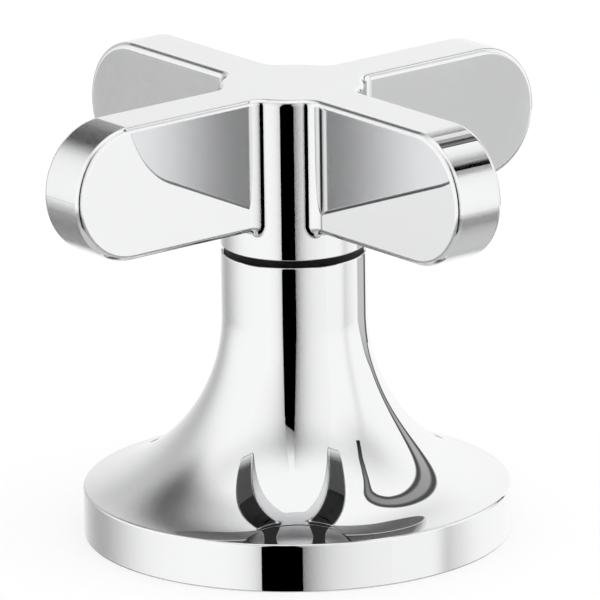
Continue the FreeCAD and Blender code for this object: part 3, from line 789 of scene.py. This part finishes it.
floor_mesh = bpy.data.meshes.new("floor")
floor_corners = [(x * FLOOR_REACH, y * FLOOR_REACH, 0.0) for x, y in ((-1, -1), (1, -1), (1, 1), (-1, 1))]
floor_mesh.from_pydata(floor_corners, [], [(0, 1, 2, 3)])
floor = bpy.data.objects.new("floor", floor_mesh)
bpy.context.scene.collection.objects.link(floor)
floor_paint = bpy.data.materials.new("floor_white")
floor_paint.use_nodes = True
floor_tree = floor_paint.node_tree
floor_shader = floor_tree.nodes["Principled BSDF"]
floor_shader.inputs["Base Color"].default_value = (FLOOR_WHITE, FLOOR_WHITE, FLOOR_WHITE, 1.0)
floor_shader.inputs["Roughness"].default_value = FLOOR_ROUGHNESS
floor_shader.inputs["Specular IOR Level"].default_value = 0.0
floor_glow = floor_tree.nodes.new("ShaderNodeEmission")
floor_mix = floor_tree.nodes.new("ShaderNodeMixShader")
floor_mix.inputs["Fac"].default_value = FLOOR_GLOW
floor_tree.links.new(floor_shader.outputs["BSDF"], floor_mix.inputs[1])
floor_tree.links.new(floor_glow.outputs["Emission"], floor_mix.inputs[2])
floor_tree.links.new(floor_mix.outputs["Shader"], floor_tree.nodes["Material Output"].inputs["Surface"])
floor_mesh.materials.append(floor_paint)
floor.visible_glossy = False

azimuth, elevation = math.radians(VIEW_AZIMUTH), math.radians(VIEW_ELEVATION)
view_right = np.array([math.cos(azimuth), math.sin(azimuth), 0.0])
view_side = np.array([math.sin(azimuth), -math.cos(azimuth), 0.0])
view_back = view_side * math.cos(elevation) + np.array([0.0, 0.0, math.sin(elevation)])
view_place = view_right * VIEW_ASIDE + view_back * VIEW_DISTANCE + np.array([0.0, 0.0, VIEW_HEIGHT])

# Gauze: grids of cards on a wide dome round the tap, each with its own cover at every place
DOME_R = 3000.0
SHELL_GAP = 20.0
MANY_BOUNCES = 99
FAR_OFF = 99.0
NEAR_REACH = 0.046
shells = itertools.count()


def dome(bearings, heights):
    """Places on a wide dome: degrees to the right of the way to the lens, and degrees above the horizon.

    Each call makes its own shell, a little wider than the one before, so that no two gauzes lie in one place.
    """
    turn, lift = np.radians(bearings)[..., None], np.radians(heights)[..., None]
    level = np.sin(turn) * view_right + np.cos(turn) * view_side
    return (DOME_R + SHELL_GAP * next(shells)) * (np.cos(lift) * level + np.sin(lift) * [0.0, 0.0, 1.0])


def gauze_paint(name, first=1, last=MANY_BOUNCES, nearest=0.0, farthest=FAR_OFF):
    """Clear paint that stops the share of light in the mesh's cover attribute.

    It counts reflections and works from the first to the last one given, and only where the plating that
    mirrors it is between two distances away, in metres.
    """
    paint = bpy.data.materials.new(name)
    paint.use_nodes = True
    tree = paint.node_tree
    tree.nodes.remove(tree.nodes["Principled BSDF"])
    path = tree.nodes.new("ShaderNodeLightPath")
    cover = tree.nodes.new("ShaderNodeAttribute")
    cover.attribute_name = "cover"
    stopped = cover.outputs["Fac"]
    for reading, operation, limit in (("Ray Depth", "GREATER_THAN", first - 0.5),
                                      ("Ray Depth", "LESS_THAN", last + 0.5),
                                      ("Ray Length", "GREATER_THAN", nearest),
                                      ("Ray Length", "LESS_THAN", farthest)):
        passes = arithmetic(tree, operation, path.outputs[reading], limit)
        stopped = arithmetic(tree, "MULTIPLY", passes, stopped)
    clear = tree.nodes.new("ShaderNodeBsdfTransparent")
    tree.links.new(arithmetic(tree, "SUBTRACT", 1.0, stopped), clear.inputs["Color"])
    tree.links.new(clear.outputs["BSDF"], tree.nodes["Material Output"].inputs["Surface"])
    return paint


every_gauze = gauze_paint("gauze")
first_gauze = gauze_paint("gauze_for_first_reflection", 1, 1)
second_gauze = gauze_paint("gauze_for_second_reflection", 2, 2)
deep_gauze = gauze_paint("gauze_for_later_reflections", 3)
near_gauze = gauze_paint("gauze_seen_from_near", 1, 1, farthest=NEAR_REACH)


def gauze(name, places, cover, paint=every_gauze):
    """Hangs a card over a grid of places in millimetres, with the share of light that it stops at each."""
    rows, columns = places.shape[:2]
    index = np.arange(rows * columns).reshape(rows, columns)
    cells = np.stack([index[:-1, :-1], index[1:, :-1], index[1:, 1:], index[:-1, 1:]], axis=-1).reshape(-1, 4)
    mesh = bpy.data.meshes.new(name)
    mesh.from_pydata(places.reshape(-1, 3) * MM, [], cells.tolist())
    shares = np.ascontiguousarray(np.broadcast_to(cover, (rows, columns)), dtype=np.float32)
    mesh.attributes.new("cover", "FLOAT", "POINT").data.foreach_set("value", shares.ravel())
    mesh.materials.append(paint)
    card = bpy.data.objects.new(name, mesh)
    bpy.context.scene.collection.objects.link(card)
    card.visible_camera = False
    card.visible_diffuse = False
    card.visible_transmission = False
    card.visible_shadow = False


SPOT_END = 5.0
SPOT_COLUMNS = 61
SPOT_ROWS = 41


def soft_spot(name, bearing, height, cover, bearing_power=2, height_power=2):
    """Soft dark spot on the dome, whose cover falls off as exp(-distance^power) both ways from its middle.

    bearing and height each give the middle and the two reaches, before it and past it, in degrees.
    """
    aside_end, above_end = SPOT_END ** (1.0 / bearing_power), SPOT_END ** (1.0 / height_power)
    bearings, heights = np.meshgrid(
        np.linspace(bearing[0] - aside_end * bearing[1], bearing[0] + aside_end * bearing[2], SPOT_COLUMNS),
        np.linspace(height[0] - above_end * height[1], height[0] + above_end * height[2], SPOT_ROWS))
    aside, above = bearings - bearing[0], heights - height[0]
    aside = np.abs(aside) / np.where(aside < 0.0, bearing[1], bearing[2])
    above = np.abs(above) / np.where(above < 0.0, height[1], height[2])
    gauze(name, dome(bearings, heights), cover * np.exp(-aside**bearing_power - above**height_power))


# Black flag near the lens, crisp at its edges and slanted on top, with a grey halo at its sides and above it
FLAG_MIDDLE = -8.4
FLAG_HALF = 9.66
FLAG_TAPER = 0.078
FLAG_FOOT = -45.0
FLAG_TOP = 44.0
FLAG_SLANT = 2.5
FLAG_COLUMNS = 9
FLAG_ROWS = 31
HALO_TOP = 73.0
HALO_REACH = 3.5
HALO_COLUMNS = 36
HALO_ROWS = 60
CROWN_TOP = 62.0
CROWN_COVER = 0.75
CROWN_ROWS = 16
flag_across = np.linspace(-1.0, 1.0, FLAG_COLUMNS)
flag_top = FLAG_TOP + FLAG_SLANT * flag_across
flag_heights = FLAG_FOOT + (flag_top - FLAG_FOOT) * np.linspace(0.0, 1.0, FLAG_ROWS)[:, None]
flag_half = FLAG_HALF - FLAG_TAPER * flag_heights
gauze("front_flag", dome(FLAG_MIDDLE + flag_half * flag_across, flag_heights), 1.0, first_gauze)
halo_heights = np.linspace(FLAG_FOOT, HALO_TOP, HALO_ROWS)[:, None]
halo_half = FLAG_HALF - FLAG_TAPER * halo_heights
halo_fade = np.clip((HALO_TOP - halo_heights) / (HALO_TOP - FLAG_TOP), 0.0, 1.0)
halo_rise = np.clip(halo_heights / FLAG_TOP, 0.0, 1.0)
halo_away = np.linspace(0.0, HALO_REACH, HALO_COLUMNS)

# Each halo has its side, and then its cover and its softness in degrees, both level and at the flag's top
for name, side, level_cover, top_cover, level_soft, top_soft in (
        ("right_halo", 1.0, 0.77, 0.77, 14.0, 14.0),
        ("left_halo", -1.0, 0.38, 0.5, 5.5, 14.0)):
    halo_cover = level_cover + (top_cover - level_cover) * halo_rise
    halo_soft = level_soft + (top_soft - level_soft) * halo_rise
    gauze(name, dome(FLAG_MIDDLE + side * (halo_half + halo_soft * halo_away), halo_heights),
          halo_cover * np.exp(-halo_away) * halo_fade, first_gauze)
crown_share = np.linspace(0.0, 1.0, CROWN_ROWS)[:, None]
crown_heights = flag_top + (CROWN_TOP - flag_top) * crown_share
crown_half = FLAG_HALF - FLAG_TAPER * crown_heights
gauze("flag_crown", dome(FLAG_MIDDLE + crown_half * flag_across, crown_heights),
      CROWN_COVER * (1.0 - crown_share), first_gauze)
soft_spot("high_crown", (-8.0, 32.0, 30.0), (54.0, 10.0, 10.0), 0.2)
soft_spot("ceiling_line", (-20.0, 105.0, 100.0), (53.0, 9.0, 9.0), 0.14, bearing_power=8)

# Grey screens behind the tap on both sides
soft_spot("left_screen", (-140.0, 29.0, 24.0), (15.0, 52.0, 52.0), 0.46, height_power=6)
soft_spot("left_panel", (-152.0, 34.0, 34.0), (43.0, 10.0, 13.0), 0.75, bearing_power=4)
soft_spot("left_skirt", (-165.0, 14.0, 14.0), (24.0, 8.0, 8.0), 0.18)
soft_spot("right_panel", (157.0, 10.0, 10.0), (47.0, 11.0, 11.0), 0.2)
soft_spot("right_screen", (92.0, 25.0, 25.0), (44.0, 12.0, 12.0), 0.3)
soft_spot("right_corner", (86.0, 6.0, 6.0), (0.0, 45.0, 45.0), 0.14, height_power=4)
soft_spot("right_low", (60.0, 45.0, 45.0), (-24.0, 9.0, 9.0), 0.08)
soft_spot("left_foot", (-122.0, 22.0, 27.0), (-19.0, 8.0, 5.5), 0.36)
soft_spot("left_ground", (-132.0, 25.0, 25.0), (-38.0, 8.0, 8.0), 0.3)
soft_spot("right_foot", (90.0, 6.0, 16.0), (-19.0, 6.0, 4.0), 0.28)


BAND_STEP = 2.0
BAND_COLUMNS = 73


def all_round(name, heights, covers, paint, gap=0.0, gap_half=0.0):
    """Band of the dome at every bearing, whose cover follows a curve of heights, with a gap at one bearing.

    In the gap the cover falls off as 1 - exp(-distance^4).
    """
    count = round((heights[-1] - heights[0]) / BAND_STEP) + 1
    rows = np.linspace(heights[0], heights[-1], count)[:, None]
    bearings = np.linspace(-180.0, 180.0, BAND_COLUMNS)
    away = np.abs((bearings - gap + 180.0) % 360.0 - 180.0)
    beside = 1.0 - np.exp(-((away / gap_half) ** 4)) if gap_half else 1.0
    gauze(name, dome(bearings, rows), np.interp(rows, heights, covers) * beside, paint)


# Grey gauze below the horizon for the first reflection, clear behind the tap, and painted shade that the
# second and later reflections see, where plated faces mirror each other
all_round("ground", (-90, -60, -52, -46, -40, -34, -27, -22, -18),
          (0.42, 0.42, 0.42, 0.46, 0.53, 0.62, 0.58, 0.25, 0.0), first_gauze, gap=180.0, gap_half=18.0)
all_round("second_low", (-90, -48, -36, -24), (0.93, 0.9, 0.78, 0.6), second_gauze, gap=0.0, gap_half=6.0)
all_round("second_level", (-24, -12, 0, 12, 24), (0.6, 0.5, 0.35, 0.22, 0.2), second_gauze,
          gap=0.0, gap_half=35.0)
all_round("second_high", (24, 36, 50, 60, 66, 75, 90), (0.2, 0.7, 0.81, 0.66, 0.46, 0.28, 0.1), second_gauze)
all_round("third", (-90, 90), (0.97, 0.97), deep_gauze)


def eased(value, start, span):
    """Goes from 0 at start to 1 one span further on, level at both ends: 3 s^2 - 2 s^3."""
    share = np.clip((value - start) / span, 0.0, 1.0)
    return share**2 * (3.0 - 2.0 * share)


# Lamp ribbon behind the tap on the right: dark along its edges and grey between them.
# Each row has its bearing, height and half width, the cover in its middle and the cover along its first edge.
RIBBON_EDGE = 0.92
RIBBON_RIM = 0.15
RIBBON_FINER = 8
RIBBON_COLUMNS = 33
EDGE_START = 0.3
EDGE_SPAN = 0.3
SMOOTH_SPAN = 13
ribbon = np.array([
    (80.3, 41.5, 1.9, 1.0, 0.92),
    (82.4, 46.3, 1.8, 0.95, 0.92),
    (85.6, 51.7, 1.7, 0.9, 0.92),
    (95.2, 57.6, 1.6, 0.8, 0.92),
    (107.0, 61.6, 1.7, 0.75, 0.92),
    (118.0, 63.5, 2.1, 0.75, 0.92),
    (128.5, 62.2, 2.6, 0.72, 0.92),
    (137.0, 58.2, 3.1, 0.7, 0.92),
    (140.8, 52.0, 4.1, 0.68, 0.92),
    (140.9, 44.0, 5.2, 0.66, 0.92),
    (140.3, 34.0, 5.5, 0.62, 0.92),
    (138.7, 24.0, 5.5, 0.55, 0.92),
    (138.0, 14.0, 5.2, 0.55, 0.92),
    (137.0, 4.0, 4.6, 0.7, 0.9),
    (136.5, -4.0, 6.2, 0.6, 0.8),
    (134.5, -9.0, 11.0, 0.48, 0.55),
    (134.5, -12.5, 15.0, 0.44, 0.46),
    (134.5, -16.5, 17.5, 0.42, 0.42),
])
ribbon_step = np.linspace(0.0, len(ribbon) - 1.0, RIBBON_FINER * len(ribbon))
ribbon_rows = np.stack([np.interp(ribbon_step, np.arange(len(ribbon)), column) for column in ribbon.T])
smoothing = np.hanning(SMOOTH_SPAN)[1:-1] / np.hanning(SMOOTH_SPAN).sum()
margin = len(smoothing) // 2
padded = np.pad(ribbon_rows, ((0, 0), (margin, margin)), mode="edge")
smoothed = [np.convolve(row, smoothing, "valid") for row in padded]
bearings, heights, half_widths, middles, first_edges = smoothed
squeeze = np.cos(np.radians(heights))
along = np.stack([np.gradient(bearings) * squeeze, np.gradient(heights)])
along = along / np.hypot(*along)
across = np.linspace(-1.0, 1.0, RIBBON_COLUMNS)[:, None]
rim_share = np.clip((1.0 - np.abs(across)) / RIBBON_RIM, 0.0, 1.0)
edge_share = eased(np.abs(across), EDGE_START, EDGE_SPAN)
edge_cover = np.where(across < 0.0, first_edges, RIBBON_EDGE)
gauze("lamp_ribbon",
      dome(bearings - half_widths * across * along[1] / squeeze, heights + half_widths * across * along[0]),
      rim_share * (middles + (edge_cover - middles) * edge_share), first_gauze)

# Grey cards far off on both sides: each hangs where the side of a far arm mirrors the lens to, and only there
CARD_AWAY = 20000.0
CARD_ROOM = 3.0
CARD_LOW = 40.8
CARD_HIGH = 58.9
CARD_INSIDE = 2.0
CARD_PAST = 0.5
CARD_COLUMNS = 33
CARD_ROWS = 21
card_gauze = gauze_paint("gauze_seen_from_arms", 1, 1, nearest=(CARD_AWAY - CARD_ROOM) * MM,
                         farthest=(CARD_AWAY + CARD_ROOM) * MM)
card_along, card_z = np.meshgrid(np.linspace(HUB_R - CARD_INSIDE, HALF_SPAN + CARD_PAST, CARD_COLUMNS),
                                 np.linspace(CARD_LOW, CARD_HIGH, CARD_ROWS))
for name, face, away, cover in (
        ("right_card", dots(card_along, -ARM_HALF, card_z), np.array([0.0, 1.0, 0.0]), 0.37),
        ("left_card", dots(-ARM_HALF, card_along, card_z), np.array([1.0, 0.0, 0.0]), 0.425)):
    mirrored_lens = view_place - 2.0 * away * (view_place @ away + ARM_HALF)
    glance = face - mirrored_lens
    glance = glance / np.linalg.norm(glance, axis=-1, keepdims=True)
    gauze(name, face + CARD_AWAY * glance, cover, card_gauze)

# Graded card in front, which two arms mirror to each other: painted shade in those reflections, darkest in
# its middle
GRADE_REACH = 30.0
GRADE_AHEAD = 60.0
GRADE_LOW = 15.0
GRADE_HIGH = 56.0
GRADE_START = 5.0
GRADE_SPAN = 15.0
GRADE_COVER = 0.72
GRADE_FALL = 0.63
GRADE_COLUMNS = 61
grade_columns = np.linspace(-GRADE_REACH, GRADE_REACH, GRADE_COLUMNS)
grade_aside, grade_z = np.meshgrid(grade_columns, [GRADE_LOW, GRADE_HIGH])
grade_share = eased(np.abs(grade_aside), GRADE_START, GRADE_SPAN)
gauze("graded_shade_card", grade_aside[..., None] * view_right + GRADE_AHEAD * view_side + dots(0.0, 0.0, grade_z),
      GRADE_COVER - GRADE_FALL * grade_share, second_gauze)

# Bars close to the ends of the near arms, two on the right and one on the left, each curved round its end.
# The one on the left is painted shade on its arm's round end.
# Each place on a round end leans back by an angle, and its bar hangs where the lens is mirrored to.
BAR_AWAY = 40.0
BAR_REACH = 4.5
for name, arm, side, leans, covers in (
        ("black_bar", 1, 0, (28.0, 30.1, 31.4, 34.2, 34.5, 37.3, 38.3, 39.1, 40.0, 41.8, 44.5, 48.0),
         (0.0, 0.25, 0.42, 0.45, 1.0, 0.97, 0.85, 0.62, 0.42, 0.4, 0.18, 0.0)),
        ("grey_bar", 1, 0, (59.5, 59.8, 63.0, 63.5, 64.0, 67.2, 67.5, 72.2, 73.0, 77.0, 84.0),
         (0.0, 0.5, 0.55, 0.93, 0.5, 0.55, 0.0, 0.0, 0.62, 0.35, 0.0)),
        ("left_shade_bar", 0, 1, (50.0, 55.5, 65.0, 68.5, 72.0, 86.0, 87.5),
         (0.0, 0.28, 0.28, 0.4, 0.54, 0.52, 0.0))):
    lean = np.radians(leans)[:, None]
    glance = 2.0 * lean - math.atan2(view_back[2], -view_back[arm])
    ahead = BAR_AWAY * math.hypot(view_back[arm], view_back[2])
    beside = np.array([-BAR_REACH, BAR_REACH]) - BAR_AWAY * view_back[side]
    out = -end_x - end_r * np.cos(lean) - ahead * np.cos(glance)
    up = arm_middle + end_r * np.sin(lean) + ahead * np.sin(glance)
    gauze(name, dots(out, beside, up) if arm == 0 else dots(beside, out, up),
          np.array(covers)[:, None], near_gauze)

# Camera: a long lens from the front left, a little above the handle
VIEW_ROLL = -0.766
VIEW_LENS = 630.4
VIEW_SENSOR = 36.0
VIEW_CLIP = 50.0
roll = math.radians(VIEW_ROLL)
view_up = np.cross(view_back, view_right)
rolled_right = view_right * math.cos(roll) + view_up * math.sin(roll)
rolled_up = view_up * math.cos(roll) - view_right * math.sin(roll)
camera = bpy.data.objects.new("camera", bpy.data.cameras.new("camera"))
camera.data.lens = VIEW_LENS
camera.data.sensor_width = VIEW_SENSOR
camera.data.clip_end = VIEW_CLIP
camera.matrix_world = Matrix.Translation(view_place * MM) @ Matrix(
    np.stack([rolled_right, rolled_up, view_back], axis=1).tolist()).to_4x4()
bpy.context.scene.collection.objects.link(camera)
bpy.context.scene.camera = camera

bpy.context.scene.view_settings.view_transform = "Standard"
